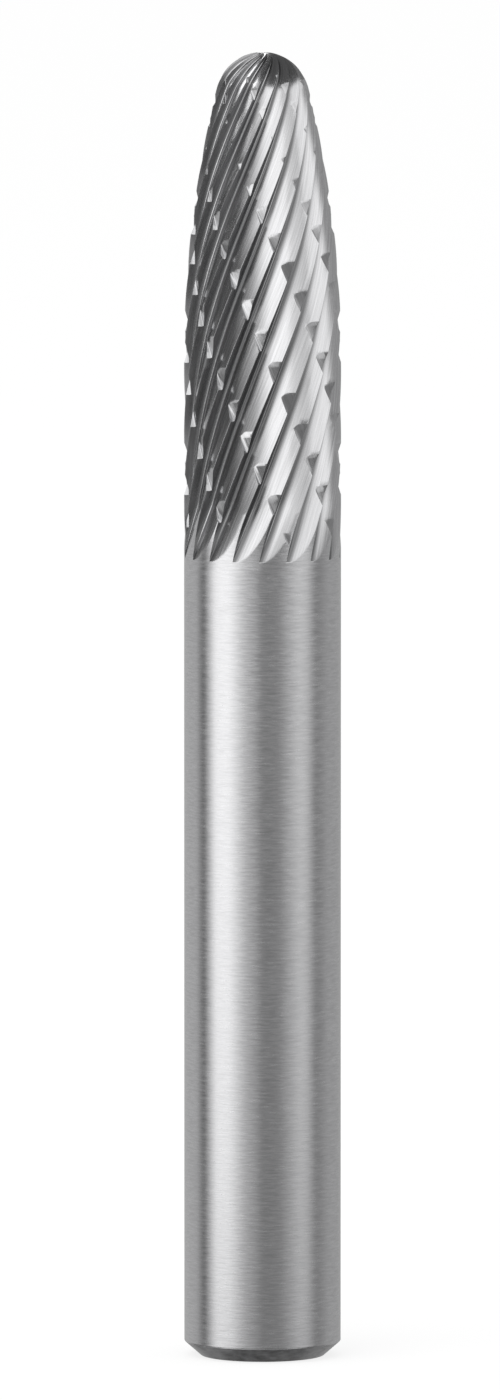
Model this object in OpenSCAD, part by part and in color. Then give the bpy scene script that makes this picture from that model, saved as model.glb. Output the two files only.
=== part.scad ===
// Rotary burr: a round-nosed tree head ground with its shank from one rod.
// Right-hand flutes are crossed by left-hand chip breakers, which notch every tooth.
// The shank's end lies on the XY plane, and the tip points along +Z.
// Angles are counted round the axis from -Y towards +X.

/* [Shank] */
// Overall length, from the shank's end to the tip
overall_l = 50; // [45:1:70]
// Diameter of the shank
shank_d = 6; // [5.5:0.5:8]
// Width of the bevel round the shank's end
shank_bevel = 0.6; // [0.2:0.1:1.2]

/* [Head form] */
// Length of the fluted head, from the lower ends of its flutes to the tip
head_l = 19.3; // [17:0.1:25]
// How much smaller than the shank the head is, measured on the radius
head_relief = 0.02; // [0.02:0.01:0.2]
// Height of the plain foot between the shank and the flutes
foot_l = 0.3; // [0.1:0.1:2]
// Length of the tapered part, from the straight part to the tip
taper_l = 11.6; // [9:0.1:13]
// Radius of the ball nose
nose_r = 1.83; // [1.4:0.01:2.2]
// Radius of the small flat at the tip
tip_flat_r = 0.5; // [0.3:0.05:0.8]

/* [Flutes] */
// Number of flutes round the head
flute_n = 18; // [12:1:24]
// Height in which a flute on the straight part goes once round
flute_lead = 45; // [30:1:90]
// Angle of the first cutting edge where the taper starts
flute_turn = -5.5; // [-20:0.5:20]
// Depth of a flute on the straight part
flute_depth = 0.36; // [0.2:0.01:0.45]
// Width of the rake face in front of a cutting edge, measured round the head
rake_w = 0.15; // [0.05:0.01:0.25]
// Width of the flute's flat root, measured round the head
root_w = 0.1; // [0.04:0.01:0.2]
// Width of the land behind a cutting edge, measured round the head
land_w = 0.03; // [0.02:0.01:0.08]
// Height in which a flute's root rises to the surface at its lower end
runout_l = 2.15; // [1.4:0.05:4]
// Height of the round lower end of a flute's back face
petal_l = 0.95; // [0.5:0.05:4]

/* [Chip breakers] */
// Number of chip breaker grooves round the head
breaker_n = 8; // [5:1:12]
// Height in which a groove on the straight part goes once round, the other way
breaker_lead = 41; // [30:1:90]
// Angle of the first groove where the taper starts
breaker_turn = 2.5; // [-45:0.5:45]
// Depth of a groove below the cutting edges of the straight part
breaker_depth = 0.2; // [0.1:0.01:0.28]
// Width of the groove's long wall at the cutting edges
breaker_long_w = 0.8; // [0.4:0.02:1]
// Width of the groove's steep wall at the cutting edges
breaker_steep_w = 0.09; // [0.04:0.01:0.3]
// Height of the grooves' lower ends above the lower ends of the flutes
breaker_start = 0.4; // [0:0.1:2]
// Height in which a groove comes to its full depth
breaker_ramp = 2.2; // [0.5:0.1:3]
// Distance from the tip to where the grooves are shallowest
waist_l = 3.3; // [2.5:0.1:5]
// Depth of a groove where it is shallowest
waist_depth = 0.02; // [0.01:0.01:0.1]
// Height below the waist in which a groove loses its depth
waist_lower_l = 2.6; // [1:0.1:4]
// Height above the waist in which a groove regains its depth
waist_upper_l = 1.7; // [0.5:0.1:3]

/* [Hidden] */

// Main sizes of the revolved form
shank_r = shank_d / 2;
head_r = shank_r - head_relief;
flute_z = overall_l - head_l;
shank_top = flute_z - foot_l;
breaker_z = flute_z + breaker_start;
taper_z = overall_l - taper_l;
nose_z = overall_l - sqrt(nose_r * nose_r - tip_flat_r * tip_flat_r);

// The taper is an arc that runs smoothly from the straight part into the ball nose
taper_rise = nose_z - taper_z;
taper_r = (taper_rise * taper_rise / (head_r - nose_r) + head_r + nose_r) / 2;
taper_end = atan2(taper_rise, taper_r - head_r);
tip_slope = acos(tip_flat_r / nose_r);

// How the head's skin is divided: rings along each stretch, and how deep it sits in the shank
runout_rings = 7;
straight_rings = 6;
taper_rings = 10;
nose_rings = 8;
seat_l = 0.6;
foot_gap = 0.05;

// Angles of one tooth, from its cutting edge
pitch = 360 / flute_n;
rake_a = angle_of(rake_w);
root_a = angle_of(root_w);
land_a = angle_of(land_w);
flute_mid = rake_a + root_a / 2;

// A groove's cutter stands this far out of the surface, and rises out of it on the nose
cutter_out = 0.1;
breaker_fade_slope = 24;
breaker_end_slope = 44;
breaker_ramp_rings = 4;
breaker_nose_rings = 5;

function angle_of(width) = width / head_r * 180 / PI;
function mix(a, b, share) = a + (b - a) * share;
function clip(x) = min(max(x, 0), 1);

// A place on the head's skin is [radius, height, slope of its normal, turn].
// The turn is the sum of length over radius from the start of the taper, so a line
// that crosses the skin at a constant angle gains that angle's tangent times the turn.
function straight_at(z) = [head_r, z, 0, (z - taper_z) / head_r];
function taper_at(a) =
    [head_r - taper_r * (1 - cos(a)), taper_z + taper_r * sin(a), a, taper_turn(a)];
function nose_at(a) =
    [nose_r * cos(a), nose_z + nose_r * sin(a), a, taper_turn(taper_end) + nose_turn(a)];
function taper_turn(a) =
    let (c = taper_r - head_r, x = sqrt((taper_r + c) / (taper_r - c)) * tan(a / 2))
    taper_r / sqrt(taper_r * taper_r - c * c) * ln((1 + x) / (1 - x));
function nose_turn(a) = ln(tan(45 - taper_end / 2) / tan(45 - a / 2));

// Angle that a line of the given lead has reached at a place
function helix(place, lead) = 360 * head_r * place[3] / lead;

// Point at an angle, a depth below the skin and a distance along the tangent
function point_at(place, angle, depth, aside = 0) =
    let (r = place[0] - depth * cos(place[2]))
    [
        r * sin(angle) + aside * cos(angle),
        aside * sin(angle) - r * cos(angle),
        place[1] - depth * sin(place[2])
    ];

// Share of its full depth that a flute has at a height above its lower end
function rise(height, length) = 1 - pow(1 - clip(height / length), 2);

// One tooth and its flute at a place, as [angle, depth] from the cutting edge:
// edge, foot of the rake face, foot of the back face, top of the back face, land.
function tooth_at(place) =
    let (
        height = place[1] - flute_z,
        full = rise(height, runout_l),
        depth = flute_depth * full * place[0] / head_r,
        edge = mix(flute_mid, 0, full),
        half_root = root_a / 2 * full,
        back = mix(flute_mid, pitch - land_a, sqrt(rise(height, petal_l)))
    )
    [
        [edge, 0],
        [flute_mid - half_root, depth],
        [flute_mid + half_root, depth],
        [max(back, flute_mid + 2 * half_root), 0],
        [(back + pitch + edge) / 2, 0]
    ];

// Below the flutes the same number of points is spread evenly
function plain_tooth() = [for (i = [0 : 4]) [flute_mid + i * pitch / 5, 0]];

function ring_points(place) = [
    for (k = [0 : flute_n - 1])
        for (p = place[1] < flute_z ? plain_tooth() : tooth_at(place))
            point_at(place, flute_turn + helix(place, flute_lead) + k * pitch + p[0], p[1])
];

// Places from the seat in the shank to the rim of the tip's flat
function head_places() = concat(
    [straight_at(shank_top - seat_l), straight_at(flute_z - foot_gap)],
    [for (i = [1 : runout_rings]) straight_at(flute_z + runout_l * pow(i / runout_rings, 2))],
    [for (i = [1 : straight_rings])
        straight_at(mix(flute_z + runout_l, taper_z, i / straight_rings))],
    [for (i = [1 : taper_rings]) taper_at(taper_end * i / taper_rings)],
    [for (i = [1 : nose_rings]) nose_at(mix(taper_end, tip_slope, i / nose_rings))]
);

// Two triangles for each patch between two rings of n points
function skin_faces(rings, n) = [
    for (j = [0 : rings - 2])
        for (i = [0 : n - 1])
            let (
                low = j * n + i,
                low_next = j * n + (i + 1) % n,
                high = low + n,
                high_next = low_next + n
            )
            each [[low, high, low_next], [low_next, high, high_next]]
];

module fluted_head() {
    places = head_places();
    n = 5 * flute_n;
    rings = len(places);
    last = (rings - 1) * n;
    tip = rings * n;
    polyhedron(
        points = concat([for (p = places) each ring_points(p)], [[0, 0, overall_l]]),
        faces = concat(
            [[for (i = [0 : n - 1]) i]],
            skin_faces(rings, n),
            [for (i = [0 : n - 1]) [tip, last + (i + 1) % n, last + i]]
        )
    );
}

// Depth of a groove at a place: a ramp at its foot, a waist on the taper, a fade at the nose
function breaker_depth_at(place) =
    let (
        above = place[1] - (overall_l - waist_l),
        share = clip(above < 0 ? -above / waist_lower_l : above / waist_upper_l),
        start = rise(place[1] - breaker_z, breaker_ramp),
        fade = clip((breaker_end_slope - place[2]) / (breaker_end_slope - breaker_fade_slope))
    )
    mix(-cutter_out / 2, mix(waist_depth, breaker_depth * place[0] / head_r, share), start * fade);

// The cutter's sections lie halfway between the rings of the skin
function breaker_places() = concat(
    [for (i = [0 : breaker_ramp_rings])
        straight_at(breaker_z + breaker_ramp * pow(i / breaker_ramp_rings, 2))],
    [for (i = [1 : straight_rings])
        straight_at(mix(breaker_z + breaker_ramp, taper_z, (i - 0.5) / straight_rings))],
    [for (i = [1 : taper_rings]) taper_at(taper_end * (i - 0.5) / taper_rings)],
    [for (i = [1 : breaker_nose_rings])
        nose_at(mix(taper_end, breaker_end_slope, (i - 0.5) / (breaker_nose_rings - 0.5)))]
);

// The cutter's V section at a place: top of the long wall, root, top of the steep wall
function breaker_section(place, turn) =
    let (
        angle = turn - helix(place, breaker_lead),
        depth = breaker_depth_at(place),
        reach = (depth + cutter_out) / breaker_depth
    )
    [
        point_at(place, angle, -cutter_out, breaker_long_w * reach),
        point_at(place, angle, depth),
        point_at(place, angle, -cutter_out, -breaker_steep_w * reach)
    ];

module breaker_cutter(turn) {
    places = breaker_places();
    last = 3 * (len(places) - 1);
    polyhedron(
        points = [for (p = places) each breaker_section(p, turn)],
        faces = concat(
            [[0, 1, 2]],
            skin_faces(len(places), 3),
            [[last + 2, last + 1, last]]
        )
    );
}

// The fluted head with the chip breakers ground across its teeth
module head() {
    difference() {
        fluted_head();
        for (k = [0 : breaker_n - 1])
            breaker_cutter(breaker_turn + k * 360 / breaker_n);
    }
}

module shank() {
    rotate_extrude($fn = 96)
        polygon([
            [0, 0],
            [shank_r - shank_bevel, 0],
            [shank_r, shank_bevel],
            [shank_r, shank_top],
            [0, shank_top]
        ]);
}

module burr() {
    color([0.66, 0.66, 0.66])
        union() {
            shank();
            head();
        }
}

burr();
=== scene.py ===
# %% [markdown]
# # A rotary burr, ground from one rod of carbide
# The real burr is one piece of tungsten carbide: a plain round shank that goes into a collet, and a
# tapered head with a round nose. A grinding wheel cuts 18 right-hand flutes into the head, which leaves
# 18 teeth, and then 8 left-hand grooves across them, which notch every tooth so that it makes small chips.
# The lesson goes the same way: the form, one tooth, all teeth, the shank, the cutters of the chip
# breakers, the finish that each grinding wheel leaves, the cut itself, and last the studio.

# %% Load the fixed frame
import math

import bpy
import numpy as np
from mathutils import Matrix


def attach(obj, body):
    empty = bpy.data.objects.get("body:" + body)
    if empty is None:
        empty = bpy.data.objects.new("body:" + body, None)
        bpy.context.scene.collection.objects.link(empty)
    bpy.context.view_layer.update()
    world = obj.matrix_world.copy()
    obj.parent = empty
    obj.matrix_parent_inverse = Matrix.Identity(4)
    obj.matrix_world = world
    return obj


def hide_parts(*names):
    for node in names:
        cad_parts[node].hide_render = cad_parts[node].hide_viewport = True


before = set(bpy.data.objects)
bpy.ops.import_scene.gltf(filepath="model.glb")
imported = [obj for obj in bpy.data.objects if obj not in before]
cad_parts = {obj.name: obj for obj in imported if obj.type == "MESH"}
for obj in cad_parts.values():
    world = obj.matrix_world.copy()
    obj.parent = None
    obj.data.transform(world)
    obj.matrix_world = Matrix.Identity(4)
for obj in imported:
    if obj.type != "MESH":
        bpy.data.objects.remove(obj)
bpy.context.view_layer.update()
bpy.ops.object.select_all(action="DESELECT")

# %% [markdown]
# ## The form of the burr
# The outline is a straight part, a taper that is an arc, and a ball nose that the arc runs into. The
# lengths are those of the CAD part, in millimetres, with a slightly smaller ball. A flute crosses this
# form at a constant angle. Straight teeth could be twisted with a Simple Deform modifier, but where the
# form is thinner they would then lean less. So this lesson counts a "turn" along the outline: the sum of
# length over radius. A line that is straight in angle against turn crosses the whole form at one angle.

# %% Sizes of the form
MM = 0.001
overall_l = 50.0
shank_r = 3.0
head_l = 19.3
taper_l = 11.6
nose_r = 1.8
tip_flat_r = 0.3
flute_z = overall_l - head_l
taper_z = overall_l - taper_l
nose_z = overall_l - math.sqrt(nose_r**2 - tip_flat_r**2)
taper_rise = nose_z - taper_z
taper_r = (taper_rise**2 / (shank_r - nose_r) + shank_r + nose_r) / 2
taper_end = math.atan2(taper_rise, taper_r - shank_r)
tip_slope = math.acos(tip_flat_r / nose_r)
print(f"nose centre at {nose_z:.3f} mm, taper arc of {taper_r:.2f} mm")
print(f"the taper leans by {math.degrees(taper_end):.2f} degrees where the nose starts")


# %% Places on the form
def straight_at(z):
    """Radius, height, slope and turn on the straight part."""
    z = np.asarray(z, float)
    return np.stack([z * 0 + shank_r, z, z * 0, (z - taper_z) / shank_r], -1)


def taper_turn(a):
    """Turn from the start of the taper to where its surface leans by angle a."""
    c = taper_r - shank_r
    x = math.sqrt((taper_r + c) / (taper_r - c)) * np.tan(a / 2)
    return taper_r / math.sqrt(taper_r**2 - c**2) * np.log((1 + x) / (1 - x))


def taper_at(a):
    """Radius, height, slope and turn where the taper's surface leans by angle a."""
    a = np.asarray(a, float)
    radius = shank_r - taper_r * (1 - np.cos(a))
    return np.stack([radius, taper_z + taper_r * np.sin(a), a, taper_turn(a)], -1)


def nose_at(a):
    """Radius, height, slope and turn where the ball nose leans by angle a."""
    a = np.asarray(a, float)
    gained = np.log(math.tan(math.pi / 4 - taper_end / 2) / np.tan(math.pi / 4 - a / 2))
    turn = taper_turn(taper_end) + gained
    return np.stack([nose_r * np.cos(a), nose_z + nose_r * np.sin(a), a, turn], -1)


def mix(a, b, share):
    return a + (b - a) * share


def rise(height, length):
    """From 0 to 1 over a length, steep at first."""
    return 1 - (1 - np.clip(height / length, 0, 1)) ** 2


def helix(place, lead):
    """Angle in degrees that a line of the given lead has reached at a place."""
    return 360 * shank_r * place[..., 3] / lead


def wrap(place, angle, depth, aside=0.0):
    """Points in metres: at an angle in degrees, a depth below the form and a distance along its tangent."""
    turned = np.radians(angle)
    r = place[..., 0] - depth * np.cos(place[..., 2])
    x = r * np.sin(turned) + aside * np.cos(turned)
    y = aside * np.sin(turned) - r * np.cos(turned)
    z = place[..., 1] - depth * np.sin(place[..., 2]) + 0 * angle
    return np.stack([x, y, z], -1) * MM


print("radius, height, slope and turn where the straight part ends:", straight_at(taper_z).round(3))
print("radius, height, slope and turn where the taper ends:", taper_at(taper_end).round(3))

# %% [markdown]
# ## One tooth
# A tooth is a cutting edge with a steep rake face in front, a rounded root, a long back face and a very
# narrow land. It could be cut out of a solid with a wheel-shaped cutter, but the wheel's path is hard to
# keep exact on a taper. So one tooth is laid out flat, as a grid of points as wide as one pitch, and each
# point is then moved to its place on the form. The grid's UV map gets its real size in millimetres, which
# later lets the grinding lines run along the flute.

# %% Sizes of the tooth
flute_n = 18
flute_lead = 45.0
flute_turn = -5.5
pitch = 360 / flute_n
pitch_w = 2 * math.pi * shank_r / flute_n
corner_depth = 0.405
edge_to_corner = 0.15
root_on_rake = 0.14
root_on_back = 0.2
land_w = 0.008
back_crown = 0.007
root_steps = 6
back_steps = 4
land_steps = 8
rake_share = 1 - root_on_rake / math.hypot(edge_to_corner, corner_depth)
back_share = root_on_back / math.hypot(pitch_w - edge_to_corner, corner_depth)

# The lower end of a flute: where it starts, and how fast it gets wide and deep
flute_foot = 0.24
runout_l = 2.15
petal_l = 1.5
petal_power = 0.4
sink_power = 1.15
print(f"pitch {pitch_w:.3f} mm, the root's rounding starts {rake_share:.2f} down the rake face")


# %% The tooth's section at every ring
def degrees_of(width):
    return math.degrees(width / shank_r)


def tooth_section(place):
    """Angles and depths of one tooth's points, from its cutting edge to the next one's."""
    height = max(place[1] - flute_z, 0)
    full = float(rise(height, runout_l))
    wide = float(rise(height, petal_l)) ** petal_power
    sunk = 1 - (1 - min(height / runout_l, 1)) ** sink_power
    size = place[0] / shank_r
    foot = degrees_of(flute_foot)
    edge = np.array([mix(foot, 0, full), 0])
    corner = np.array([mix(foot, degrees_of(edge_to_corner), full), corner_depth * sunk * size])
    back = np.array([mix(foot, pitch - degrees_of(land_w), wide), 0])
    rake_end = mix(edge, corner, rake_share)
    back_start = mix(corner, back, back_share)
    points = [edge, mix(edge, rake_end, 0.5), rake_end]
    for s in np.arange(1, root_steps) / root_steps:
        points.append(mix(mix(rake_end, corner, s), mix(corner, back_start, s), s))
    points.append(back_start)
    crown = np.array([0, -back_crown * sunk * size])
    for s in np.arange(1, back_steps) / back_steps:
        points.append(mix(back_start, back, s) + 4 * s * (1 - s) * crown)
    points.append(back)
    for s in np.arange(1, land_steps + 1) / land_steps:
        points.append(np.array([mix(back[0], pitch + edge[0], s), 0]))
    points = np.array(points)
    return points[:, 0], points[:, 1]


# Rings below the flutes: the lowest one carries the shank, and the others stand close to the flutes' ends
seam_drop = 0.4
rings_below = (seam_drop, 0.02, 0.01)
runout_rings = 26
straight_rings = 23
taper_rings = 56
nose_rings = 32
rings = np.concatenate([
    straight_at([flute_z - drop for drop in rings_below]),
    straight_at(flute_z + runout_l * (np.arange(1, runout_rings + 1) / runout_rings) ** 2),
    straight_at(np.linspace(flute_z + runout_l, taper_z, straight_rings + 1)[1:]),
    taper_at(np.linspace(0, taper_end, taper_rings + 1)[1:]),
    nose_at(np.linspace(taper_end, tip_slope, nose_rings + 1)[1:]),
])
sections = [tooth_section(place) for place in rings]
angles = np.array([s[0] for s in sections])
depths = np.array([s[1] for s in sections])
print(f"{len(rings)} rings of {angles.shape[1]} points, flutes {depths.max():.3f} mm deep")


# %% Helpers for flat sheets that are wrapped
def flat_sheet(name, columns, rows):
    """Adds a grid with so many columns and rows of faces, and gives each point's column and row."""
    bpy.ops.mesh.primitive_grid_add(x_subdivisions=columns, y_subdivisions=rows, size=2)
    sheet = bpy.context.object
    sheet.name = name
    flat = np.empty(len(sheet.data.vertices) * 3)
    sheet.data.vertices.foreach_get("co", flat)
    flat = flat.reshape(-1, 3)
    column = np.rint((flat[:, 0] + 1) / 2 * columns).astype(int)
    row = np.rint((flat[:, 1] + 1) / 2 * rows).astype(int)
    return sheet, column, row


def set_points(piece, points):
    piece.data.vertices.foreach_set("co", points.ravel())
    piece.data.update()


def set_uv(piece, across, along):
    """Writes the UV map in millimetres, so that a pattern has its real size."""
    corner = np.empty(len(piece.data.loops), int)
    piece.data.loops.foreach_get("vertex_index", corner)
    uv = np.stack([across[corner], along[corner]], -1)
    piece.data.uv_layers[0].data.foreach_set("uv", uv.ravel())


# %% Lay the tooth flat and wrap it onto the form
tooth, column, row = flat_sheet("tooth", angles.shape[1] - 1, len(rings) - 1)
places = rings[row]
spin = flute_turn + helix(places, flute_lead) + angles[row, column]
set_points(tooth, wrap(places, spin, depths[row, column]))
step = np.linalg.norm(np.diff(rings[:, :2], axis=0), axis=1)
length = np.concatenate([[0], np.cumsum(step)]) / math.cos(math.atan(2 * math.pi * shank_r / flute_lead))
across = np.radians(angles[row, column]) * shank_r
set_uv(tooth, across, length[row])
print(f"one tooth: {len(tooth.data.polygons)} faces, {length[-1]:.1f} mm along the flute")

# %% [markdown]
# ## All teeth
# The wheel grinds one flute, the burr is turned by a pitch, and the next flute follows. In the same way
# the tooth is copied 17 times, each copy turned by one pitch more. An Array modifier could do that, but it
# shifts a UV map by one unit at most. Here each copy's UV map is shifted by more than a tooth's width, so
# that no two flutes show the same grinding lines, and the copies are then joined and welded.

# %% Helpers for edit mode
WELD = 0.0000002


def edit(piece, mode="VERT"):
    bpy.ops.object.select_all(action="DESELECT")
    bpy.context.view_layer.objects.active = piece
    piece.select_set(True)
    bpy.ops.object.mode_set(mode="EDIT")
    bpy.ops.mesh.select_mode(type=mode)


def leave():
    bpy.ops.object.mode_set(mode="OBJECT")


def join_all(pieces):
    bpy.ops.object.select_all(action="DESELECT")
    for piece in pieces:
        piece.select_set(True)
    bpy.context.view_layer.objects.active = pieces[0]
    bpy.ops.object.join()
    return bpy.context.object


# %% Copy the tooth round the head
FLUTE_SHIFT = 3.0
teeth = [tooth]
for k in range(1, flute_n):
    bpy.ops.object.select_all(action="DESELECT")
    tooth.select_set(True)
    bpy.context.view_layer.objects.active = tooth
    bpy.ops.object.duplicate()
    copy = bpy.context.object
    set_points(copy, wrap(places, spin + k * pitch, depths[row, column]))
    set_uv(copy, across + FLUTE_SHIFT * k, length[row])
    teeth.append(copy)
burr = join_all(teeth)
burr.name = "ground_burr"
edit(burr)
bpy.ops.mesh.select_all(action="SELECT")
bpy.ops.mesh.remove_doubles(threshold=WELD)
leave()
print(f"toothed skin: {len(burr.data.vertices)} points, {len(burr.data.polygons)} faces")

# %% [markdown]
# ## The shank and the tip
# The rod was round before it was fluted, so the shank runs straight on from the head. A separate cylinder
# would leave a seam there. So the lowest ring of the toothed skin is extruded down instead. The shank's
# end has a bevel, whose two edges are a little rounded. The tip is closed with a small flat, where the
# flutes meet.

# %% The outline of the shank's end
bevel_w = 0.64
bevel_h = 0.56
bevel_round = 0.08
bevel_steps = 4
quarter = math.pi / 2
lean = math.atan2(bevel_w, bevel_h)
low_r = shank_r - bevel_w
high_tangent = bevel_round * math.tan(lean / 2)
low_tangent = bevel_round * math.tan((quarter - lean) / 2)
outline = []
for turn in lean * np.arange(bevel_steps + 1) / bevel_steps:
    r = shank_r - bevel_round * (1 - math.cos(turn))
    outline.append((r, bevel_h + high_tangent - bevel_round * math.sin(turn)))
for turn in lean + (quarter - lean) * np.arange(bevel_steps + 1) / bevel_steps:
    r = low_r - low_tangent + bevel_round * math.sin(quarter - turn)
    outline.append((r, bevel_round * (1 - math.sin(turn))))
print("shank's end, radius and height in mm:", [(round(r, 3), round(float(z), 3)) for r, z in outline])


# %% Extrude the shank and close the ends
def points_of(piece):
    co = np.empty(len(piece.data.vertices) * 3)
    piece.data.vertices.foreach_get("co", co)
    return co.reshape(-1, 3)


def select_points(piece, chosen):
    """Selects the points of which chosen is true, and nothing else."""
    leave()
    for kind in (piece.data.polygons, piece.data.edges, piece.data.vertices):
        kind.foreach_set("select", np.zeros(len(kind), bool))
    piece.data.vertices.foreach_set("select", chosen)
    bpy.ops.object.mode_set(mode="EDIT")
    bpy.ops.mesh.select_mode(type="VERT")


def extrude_ring(drop, scale):
    bpy.ops.mesh.extrude_region_move(TRANSFORM_OT_translate={"value": (0, 0, -drop * MM)})
    bpy.ops.transform.resize(value=(scale, scale, 1), center_override=(0, 0, 0))


ring_margin = 0.01
cap_share = 0.5
edit(burr)
r_now, z_now = shank_r, flute_z - seam_drop
select_points(burr, points_of(burr)[:, 2] < (z_now + ring_margin) * MM)
for r_next, z_next in outline:
    extrude_ring(z_now - z_next, r_next / r_now)
    r_now, z_now = r_next, z_next
extrude_ring(0.0, cap_share)
bpy.ops.mesh.merge(type="CENTER")
leave()
tip_ring_z = rings[-1][1] * MM
edit(burr, "EDGE")
bpy.ops.mesh.select_all(action="DESELECT")
bpy.ops.mesh.select_non_manifold(extend=False)
bpy.ops.mesh.extrude_region_move(TRANSFORM_OT_translate={"value": (0, 0, 0)})
bpy.ops.transform.resize(value=(cap_share, cap_share, 1), center_override=(0, 0, tip_ring_z))
bpy.ops.mesh.merge(type="CENTER")
bpy.ops.mesh.select_all(action="SELECT")
bpy.ops.mesh.normals_make_consistent(inside=False)
leave()
top = points_of(burr)[:, 2].max() / MM
print(f"closed skin: {len(burr.data.vertices)} points, top at {top:.3f} mm")

# %% [markdown]
# ## The chip breakers
# Each groove has a long wall that leans and a short steep one. Its notches are sharp, so pushing the
# tooth's own points down would blur them between the rings. A cutter and a Boolean modifier give a crisp
# edge. The cutter is a long sheet with the groove's section, wrapped onto the form as the tooth was, but
# turning the other way, and closed into a bar. One is modelled and copied round the head.

# %% Sizes of the chip breakers
breaker_n = 8
breaker_lead = 41.0
breaker_turn = 2.5
breaker_depth = 0.2
breaker_long_w = 0.8
breaker_steep_w = 0.09
breaker_start = 0.4
breaker_z = flute_z + breaker_start
breaker_ramp = 2.2
waist_l = 3.3
waist_z = overall_l - waist_l
waist_depth = 0.02
waist_lower_l = 2.6
waist_upper_l = 1.7
cutter_out = 0.12
fade_slope = math.radians(24)
end_slope = math.radians(44)
print(f"{breaker_n} chip breakers from {breaker_z:.1f} mm, shallowest at {waist_z:.1f} mm")


# %% The cutter's section at every place
def breaker_depth_at(place):
    """A ramp at the foot, a waist on the taper and a fade on the nose."""
    above = place[:, 1] - waist_z
    share = np.clip(np.where(above < 0, -above / waist_lower_l, above / waist_upper_l), 0, 1)
    start = rise(place[:, 1] - breaker_z, breaker_ramp)
    fade = np.clip((end_slope - place[:, 2]) / (end_slope - fade_slope), 0, 1)
    full = mix(waist_depth, breaker_depth * place[:, 0] / shank_r, share)
    return mix(-cutter_out / 2, full, start * fade)


ramp_steps = 12
straight_steps = 19
taper_steps = 40
nose_steps = 12
path = np.concatenate([
    straight_at(breaker_z + breaker_ramp * (np.arange(ramp_steps + 1) / ramp_steps) ** 2),
    straight_at(np.linspace(breaker_z + breaker_ramp, taper_z, straight_steps + 1)[1:]),
    taper_at(np.linspace(0, taper_end, taper_steps + 1)[1:]),
    nose_at(np.linspace(taper_end, end_slope, nose_steps + 1)[1:]),
])

# Each point is a share of the long wall's width and of the depth, from wall to rounded bottom to wall
steep = breaker_steep_w / breaker_long_w
breaker_section = np.array([
    [1.00, 0.00], [0.66, 0.35], [0.33, 0.69], [0.09, 0.93], [0.03, 0.985], [0.0, 0.995],
    [-0.15 * steep, 0.95], [-0.35 * steep, 0.80], [-0.66 * steep, 0.45], [-steep, 0.00],
])
deep = breaker_depth_at(path)
print(f"chip breaker: {len(path)} sections, up to {deep.max():.3f} mm deep")

# %% Wrap, close and copy the cutter
CUTTER_SHIFT = 2
model, column, row = flat_sheet("breaker_cutter", len(breaker_section), len(path) - 1)
around = np.concatenate([breaker_section, breaker_section[:1]])
reach = (deep[row] + cutter_out) / breaker_depth
aside = around[column, 0] * breaker_long_w * reach
down = around[column, 1] * (deep[row] + cutter_out) - cutter_out
cutters = []
for k in range(breaker_n):
    copy = model.copy()
    copy.data = model.data.copy()
    bpy.context.collection.objects.link(copy)
    turned = breaker_turn + k * 360 / breaker_n - helix(path[row], breaker_lead)
    set_points(copy, wrap(path[row], turned, down, aside))
    set_uv(copy, aside + CUTTER_SHIFT * k, path[row][:, 1])
    cutters.append(copy)
bpy.data.objects.remove(model)
cutter = join_all(cutters)
edit(cutter)
bpy.ops.mesh.select_all(action="SELECT")
bpy.ops.mesh.remove_doubles(threshold=WELD)
bpy.ops.mesh.select_all(action="DESELECT")
bpy.ops.mesh.select_non_manifold(extend=False)
bpy.ops.mesh.edge_face_add()
bpy.ops.mesh.select_all(action="SELECT")
bpy.ops.mesh.normals_make_consistent(inside=False)
leave()
print(f"cutters: {len(cutter.data.polygons)} faces")

# %% [markdown]
# ## The finishes
# Carbide isn't plated or painted: all that tells its faces apart is how the wheel ran. The shank and the
# lands are ground round, the flutes lengthways and the grooves across. Anisotropic gloss could stand for
# such lines, but from close by the lines themselves are seen. So each finish is the same metal with fine
# stretched noise in its colour, its roughness and its relief. The bevel is duller, with short marks.


# %% Node helpers
def node(tree, kind, **values):
    """Adds a node, and sets its properties and its sockets by name."""
    made = tree.nodes.new(kind)
    for key, value in values.items():
        if hasattr(made, key):
            setattr(made, key, value)
        else:
            made.inputs[key.replace("_", " ")].default_value = value
    return made


def join(tree, source, output, target, socket):
    tree.links.new(source.outputs[output], target.inputs[socket])


# %% The ground metal
NOISE_LOW = 0.3
NOISE_HIGH = 0.7
RELIEF = 0.00001
BLUE_TINT = 1.015


def ground_metal(name, coordinate, stretch, tone, roughness, bump, detail):
    """The carbide with fine lines: stretch is how many lines a unit has along each axis."""
    material = bpy.data.materials.new(name)
    material.use_nodes = True
    tree = material.node_tree
    surface = tree.nodes["Principled BSDF"]
    surface.inputs["Metallic"].default_value = 1.0
    coords = node(tree, "ShaderNodeTexCoord")
    scaled = node(tree, "ShaderNodeMapping", Scale=stretch)
    join(tree, coords, coordinate, scaled, "Vector")
    lines = node(tree, "ShaderNodeTexNoise", Scale=1.0, Detail=detail, Roughness=0.6)
    join(tree, scaled, "Vector", lines, "Vector")
    colour = node(tree, "ShaderNodeValToRGB")
    for stop, place, grey in zip(colour.color_ramp.elements, (NOISE_LOW, NOISE_HIGH), tone):
        stop.position = place
        stop.color = (grey, grey, grey * BLUE_TINT, 1)
    join(tree, lines, "Fac", colour, "Fac")
    join(tree, colour, "Color", surface, "Base Color")
    rough = node(tree, "ShaderNodeMapRange", From_Min=NOISE_LOW, From_Max=NOISE_HIGH)
    rough.inputs["To Min"].default_value, rough.inputs["To Max"].default_value = roughness
    join(tree, lines, "Fac", rough, "Value")
    join(tree, rough, "Result", surface, "Roughness")
    relief = node(tree, "ShaderNodeBump", Strength=bump, Distance=RELIEF)
    join(tree, lines, "Fac", relief, "Height")
    join(tree, relief, "Normal", surface, "Normal")
    return material


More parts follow.
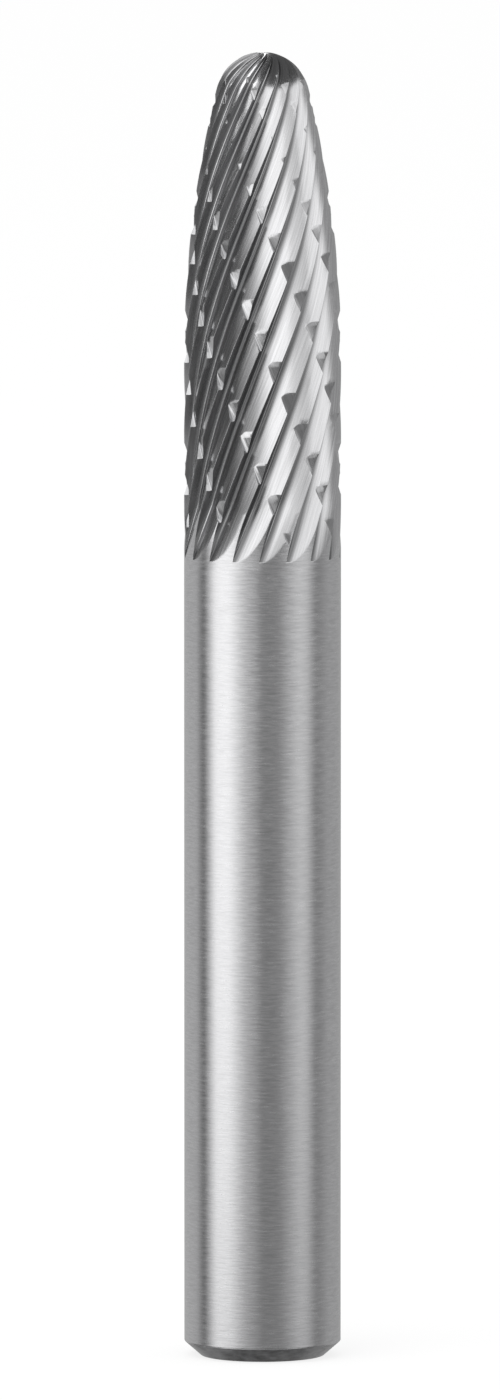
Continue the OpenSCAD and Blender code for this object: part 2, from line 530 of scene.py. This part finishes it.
shank_ground = ground_metal(
    "shank_ground", "Object", stretch=(1700, 1700, 13000),
    tone=(0.52, 0.68), roughness=(0.2, 0.28), bump=0.14, detail=4.0,
)
flute_ground = ground_metal(
    "flute_ground", "UV", stretch=(13, 0.35, 1),
    tone=(0.5, 0.7), roughness=(0.16, 0.26), bump=0.18, detail=4.0,
)
breaker_ground = ground_metal(
    "breaker_ground", "UV", stretch=(16, 0.8, 1),
    tone=(0.46, 0.6), roughness=(0.12, 0.18), bump=0.08, detail=3.0,
)
bevel_ground = ground_metal(
    "bevel_ground", "Object", stretch=(2200, 2200, 5000),
    tone=(0.32, 0.62), roughness=(0.25, 0.45), bump=0.35, detail=4.0,
)
print("finishes:", [m.name for m in (shank_ground, flute_ground, breaker_ground, bevel_ground)])

# %% [markdown]
# ## Painted shade in the root
# The wheel's corner leaves the rake face and the root rougher than the back face. Their colour is also
# darkened here, as painted shade where the deep flute hides the light. Each flute's UV map tells how far
# across the tooth a point is, so one colour ramp over the tooth's width can darken just that strip. A
# separate material would end in a hard line.

# %% Paint shade on the rake face and in the root
TOOTH_SPAN = 1.2
ROOT_ROUGHNESS = 0.1
DARKEST_ROOT_SHADE = 0.35
# Painted shade: how light the colour stays at each distance across a tooth, in millimetres from its cutting
# edge
ROOT_SHADE_TONES = (
    (0.0, 0.8), (0.02, 0.5), (0.085, 0.55), (0.1, 1.0), (0.17, 1.0),
    (0.19, 0.3), (0.31, 0.32), (0.38, 0.55), (0.47, 0.92), (0.6, 1.0), (1.03, 1.0), (1.04, 0.6),
)


def paint_root_shade(material):
    """Paints shade into the colour: multiplies it by the tones, given in millimetres from the cutting edge.
    """
    tree = material.node_tree
    surface = tree.nodes["Principled BSDF"]
    coords = node(tree, "ShaderNodeTexCoord")
    parts = node(tree, "ShaderNodeSeparateXYZ")
    phase = node(tree, "ShaderNodeMath", operation="MODULO")
    phase.inputs[1].default_value = FLUTE_SHIFT
    share = node(tree, "ShaderNodeMath", operation="DIVIDE")
    share.inputs[1].default_value = TOOTH_SPAN
    shade = node(tree, "ShaderNodeValToRGB")
    ramp = shade.color_ramp
    for place, tone in ROOT_SHADE_TONES[1:-1]:
        ramp.elements.new(place / TOOTH_SPAN)
    for stop, (place, tone) in zip(ramp.elements, ROOT_SHADE_TONES):
        stop.position = place / TOOTH_SPAN
        stop.color = (tone, tone, tone, 1)
    join(tree, coords, "UV", parts, "Vector")
    join(tree, parts, "X", phase, 0)
    join(tree, phase, "Value", share, 0)
    join(tree, share, "Value", shade, "Fac")
    multiply = node(tree, "ShaderNodeMix", data_type="RGBA", blend_type="MULTIPLY")
    multiply.inputs["Factor"].default_value = 1.0
    tree.links.new(surface.inputs["Base Color"].links[0].from_socket, multiply.inputs[6])
    tree.links.new(shade.outputs["Color"], multiply.inputs[7])
    tree.links.new(multiply.outputs[2], surface.inputs["Base Color"])
    torn = node(
        tree, "ShaderNodeMapRange", From_Min=DARKEST_ROOT_SHADE, From_Max=1.0, To_Min=ROOT_ROUGHNESS, To_Max=0.0,
    )
    rough = node(tree, "ShaderNodeMath", operation="ADD")
    join(tree, shade, "Color", torn, "Value")
    tree.links.new(surface.inputs["Roughness"].links[0].from_socket, rough.inputs[0])
    join(tree, torn, "Result", rough, 1)
    join(tree, rough, "Value", surface, "Roughness")


# The flutes' colour gets painted shade at the cutting edge, on the rake face and in the root
paint_root_shade(flute_ground)
print(f"root darkened with {len(ROOT_SHADE_TONES)} tones over {TOOTH_SPAN} mm")

# %% [markdown]
# ## Finish by finish, and the cut
# A face below the form's surface belongs to a flute, and one at the shank's end to the bevel. The rest is
# ground round. The grooves are ground last on the real burr too, so they are cut last here, and the
# Boolean modifier hands the cutters' finish over to their walls.

# %% Give each face its finish
# Depth below the form from which a face is ground as a flute, and what the bevel stays clear of its edge
FLUTE_FROM = 0.004
BEVEL_MARGIN = 0.01


def form_radius(z):
    """Radius of the form at a height."""
    on_taper = shank_r - taper_r + np.sqrt(np.maximum(taper_r**2 - (z - taper_z) ** 2, 0))
    on_nose = np.sqrt(np.maximum(nose_r**2 - (z - nose_z) ** 2, 0))
    above = np.where(z < taper_z + taper_r * math.sin(taper_end), on_taper, on_nose)
    return np.where(z < taper_z, shank_r, above)


for finish in (shank_ground, flute_ground, bevel_ground, breaker_ground):
    burr.data.materials.append(finish)
cutter.data.materials.append(breaker_ground)
faces = burr.data.polygons
centre = np.empty(len(faces) * 3)
faces.foreach_get("center", centre)
centre = centre.reshape(-1, 3) / MM
below = form_radius(centre[:, 2]) - np.hypot(centre[:, 0], centre[:, 1])
slot = np.zeros(len(faces), int)
slot[(centre[:, 2] > flute_z) & (below > FLUTE_FROM)] = 1
slot[centre[:, 2] < bevel_h - BEVEL_MARGIN] = 2
faces.foreach_set("material_index", slot)
print("faces of shank, flutes and bevel:", np.bincount(slot))

# %% Cut the grooves
SMOOTH_BELOW = math.radians(24)
bpy.ops.object.select_all(action="DESELECT")
bpy.context.view_layer.objects.active = burr
burr.select_set(True)
cut = burr.modifiers.new("chip_breakers", "BOOLEAN")
cut.operation = "DIFFERENCE"
cut.object = cutter
cut.solver = "MANIFOLD"
cut.material_mode = "TRANSFER"
bpy.ops.object.modifier_apply(modifier=cut.name)
bpy.data.objects.remove(cutter)
bpy.ops.object.shade_smooth_by_angle(angle=SMOOTH_BELOW)
triangles = sum(len(p.vertices) - 2 for p in burr.data.polygons)
print(f"burr with chip breakers: {triangles} triangles, finishes {[m.name for m in burr.data.materials]}")

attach(burr, "root")
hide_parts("burr")

# %% [markdown]
# ## The studio
# Polished metal has no look of its own: it shows what stands round it. A photographer lights it with
# white cards and dark flags, and so does this scene. Small lamps would give only hot spots. Every card is
# a patch of a large ball round the burr, given by its directions in degrees: the angle round the burr from
# the camera, and the angle above the horizon. The camera doesn't see the cards, only the metal does.

# %% Cards and flags
# A card on a smaller ball stands in front of the others
BALL_R = 2.0
NEAR_R = 1.9
NEAREST_R = 1.8
BALL_CENTRE = (0, 0, 0.03)
CARD_COLUMNS = 24
CARD_ROWS = 12


def glow(name, levels):
    """A light that goes evenly from one level at the card's left side to another at its right side."""
    material = bpy.data.materials.new(name)
    material.use_nodes = True
    tree = material.node_tree
    tree.nodes.clear()
    coords = node(tree, "ShaderNodeTexCoord")
    side = node(tree, "ShaderNodeSeparateXYZ")
    level = node(tree, "ShaderNodeMapRange", To_Min=levels[0], To_Max=levels[1])
    light = node(tree, "ShaderNodeEmission")
    out = node(tree, "ShaderNodeOutputMaterial")
    join(tree, coords, "UV", side, "Vector")
    join(tree, side, "X", level, "Value")
    join(tree, level, "Result", light, "Strength")
    join(tree, light, "Emission", out, "Surface")
    return material


def card(name, around, above, levels, radius=BALL_R):
    """A patch of the ball, from one direction to another, that only reflections see."""
    sheet, column, row = flat_sheet(name, CARD_COLUMNS, CARD_ROWS)
    azimuth = np.radians(mix(around[0], around[1], column / CARD_COLUMNS))
    height = np.radians(mix(above[0], above[1], row / CARD_ROWS))
    x, y = np.sin(azimuth) * np.cos(height), -np.cos(azimuth) * np.cos(height)
    set_points(sheet, np.stack([x, y, np.sin(height)], -1) * radius + BALL_CENTRE)
    sheet.data.materials.append(glow(name + "_glow", levels))
    sheet.visible_camera = sheet.visible_diffuse = sheet.visible_shadow = False
    cards.append(name)


cards = []
all_round = (-180, 180)
low, middle, high, tall = (-15, 3), (3, 20), (20, 46), (3, 46)

# %% Cards that the shank and the lands show
card("left_back_card", (-180, -112), low, (0.5, 0.62))
card("left_flag", (-112, -95), low, (0.6, 0.1))
card("key_card_edge", (-95, -74), low, (0.1, 1.5))
card("key_card", (-74, -48), low, (1.65, 1.65))
card("key_card_fade", (-48, -26), low, (1.6, 0.78))
card("front_left_card", (-26, -3), low, (0.75, 0.4))
card("front_flag", (-4, 28), (-16, 8), (0.27, 0.32), NEAR_R)
card("right_card_edge", (24, 56), low, (0.3, 0.85))
card("right_card", (56, 70), low, (0.87, 0.8))
card("right_card_fade", (70, 86), low, (0.75, 0.28))
card("right_flag", (86, 112), low, (0.3, 0.48))
card("right_back_card", (112, 180), low, (0.48, 0.45))
print(f"{len(cards)} cards and flags")

# %% Cards that the teeth show
card("upper_left_card", (-180, -94), middle, (0.1, 0.1))
card("upper_left_edge", (-94, -64), middle, (0.12, 0.5))
card("key_softbox_edge", (-64, -40), middle, (0.5, 1.45))
card("high_left_card", (-180, -100), high, (0.1, 0.1))
card("high_left_edge", (-100, -76), high, (0.12, 0.6))
card("high_softbox_edge", (-76, -50), high, (0.6, 1.45))
card("high_softbox", (-50, -40), high, (1.45, 1.5))
card("key_softbox", (-40, -8), tall, (1.55, 1.45))
card("upper_front_card", (-8, 28), tall, (1.1, 0.8))
card("right_softbox", (28, 70), tall, (1.2, 1.35))
card("right_softbox_edge", (70, 84), tall, (1.2, 0.45))
card("upper_right_card", (84, 180), tall, (0.42, 0.4))
print(f"{len(cards)} cards and flags")

# %% Cards that the nose shows
card("top_flag", all_round, (46, 90), (0.1, 0.1))
card("top_right_card", (40, 95), (32, 50), (1.2, 1.2), NEAREST_R)
card("nose_card_back", (-180, -150), (8, 30), (2.1, 2.1), NEAR_R)
card("nose_card_side", (-150, -112), (20, 44), (2.1, 2.1), NEAR_R)
card("nose_card_front", (-112, -88), (27, 46), (2.1, 2.1), NEAR_R)
card("back_right_top_flag", (90, 180), (30, 50), (0.2, 0.2), NEAR_R)
print(f"{len(cards)} cards and flags")

# %% Cards below, which the notches, the roots and the bevel show
under = (-32, -15)
card("low_back_card", (-180, -135), under, (0.5, 0.5))
card("low_left_flag", (-135, -60), under, (0.16, 0.2))
card("low_flag", (-60, 112), under, (0.25, 0.25))
card("low_right_card", (112, 180), under, (0.5, 0.5))
card("floor_flag", all_round, (-90, -32), (0.15, 0.15))
card("floor_left_card", (-180, -105), (-52, -36), (0.4, 0.3), NEAR_R)
card("floor_key_edge", (-105, -75), (-60, -36), (0.3, 1.2), NEAR_R)
card("floor_key_card", (-75, -42), (-72, -36), (1.2, 0.75), NEAR_R)
card("floor_front_card", (-42, 42), (-72, -50), (0.75, 0.4), NEAR_R)
card("floor_right_card", (42, 80), (-64, -36), (0.55, 0.9), NEAR_R)
card("floor_back_card", (112, 180), (-52, -36), (0.35, 0.4), NEAR_R)
print(f"{len(cards)} cards and flags")

# %% [markdown]
# ## World, floor and camera
# The background is a plain white world, and the floor takes the burr's soft shadow. A matt floor alone is
# only as bright as the light on it, and would end in a grey line. So for the camera most of the floor's
# white is its own light. The camera looks slightly down with a long lens, as in the photograph, where
# upright lines stay parallel.

# %% World
world = bpy.data.worlds.new("studio")
bpy.context.scene.world = world
world.use_nodes = True
tree = world.node_tree
tree.nodes.clear()
white = node(tree, "ShaderNodeBackground", Color=(1, 1, 1, 1), Strength=1.0)
out = node(tree, "ShaderNodeOutputWorld")
join(tree, white, "Background", out, "Surface")
print("world:", [n.bl_label for n in tree.nodes])

# %% Floor
FLOOR_SIZE = 3.0
FLOOR_WHITE = (0.95, 0.95, 0.95, 1)
OWN_WHITE_SHARE = 0.8
bpy.ops.mesh.primitive_plane_add(size=FLOOR_SIZE, location=(0, 0, 0))
floor = bpy.context.object
floor.name = "floor"
floor.visible_glossy = False
paint = bpy.data.materials.new("floor_white")
paint.use_nodes = True
tree = paint.node_tree
tree.nodes.clear()
matt = node(tree, "ShaderNodeBsdfDiffuse", Color=FLOOR_WHITE)
bright = node(tree, "ShaderNodeEmission", Strength=1.0)
rays = node(tree, "ShaderNodeLightPath")
part = node(tree, "ShaderNodeMath", operation="MULTIPLY")
part.inputs[1].default_value = OWN_WHITE_SHARE
blend = node(tree, "ShaderNodeMixShader")
out = node(tree, "ShaderNodeOutputMaterial")
join(tree, rays, "Is Camera Ray", part, 0)
join(tree, part, "Value", blend, "Fac")
join(tree, matt, "BSDF", blend, 1)
join(tree, bright, "Emission", blend, 2)
join(tree, blend, "Shader", out, "Surface")
floor.data.materials.append(paint)
print(f"floor of {FLOOR_SIZE} m, {OWN_WHITE_SHARE:.0%} of its white is its own")

# %% Lamp
bpy.ops.object.light_add(type="AREA", location=(-0.25, -0.3, 0.6))
lamp = bpy.context.object
lamp.name = "soft_lamp"
lamp.data.size = 0.5
lamp.data.energy = 1.5
lamp.visible_glossy = False
lamp.rotation_euler = (math.radians(30), 0, math.radians(-40))
print(f"lamp of {lamp.data.energy} W, which lights the floor")

# %% Camera
PICTURE_H = 1400
PX_PER_MM = 26.13
SENSOR = 36.0
distance = 0.6
elevation = math.radians(5.0)
aim = (-0.48 * MM, 0.0, 25.22 * MM)
lens_data = bpy.data.cameras.new("camera")
camera = bpy.data.objects.new("camera", lens_data)
bpy.context.collection.objects.link(camera)
lens_data.sensor_fit = "AUTO"
lens_data.sensor_width = SENSOR
lens_data.lens = SENSOR * distance / (PICTURE_H / PX_PER_MM * MM)
lens_data.clip_start = 0.01
camera.location = (aim[0], -distance * math.cos(elevation), aim[2] + distance * math.sin(elevation))
camera.rotation_euler = (math.pi / 2 - elevation, 0, 0)
bpy.context.scene.camera = camera
bpy.context.scene.view_settings.view_transform = "Standard"
print(f"lens {lens_data.lens:.1f} mm at {distance} m")
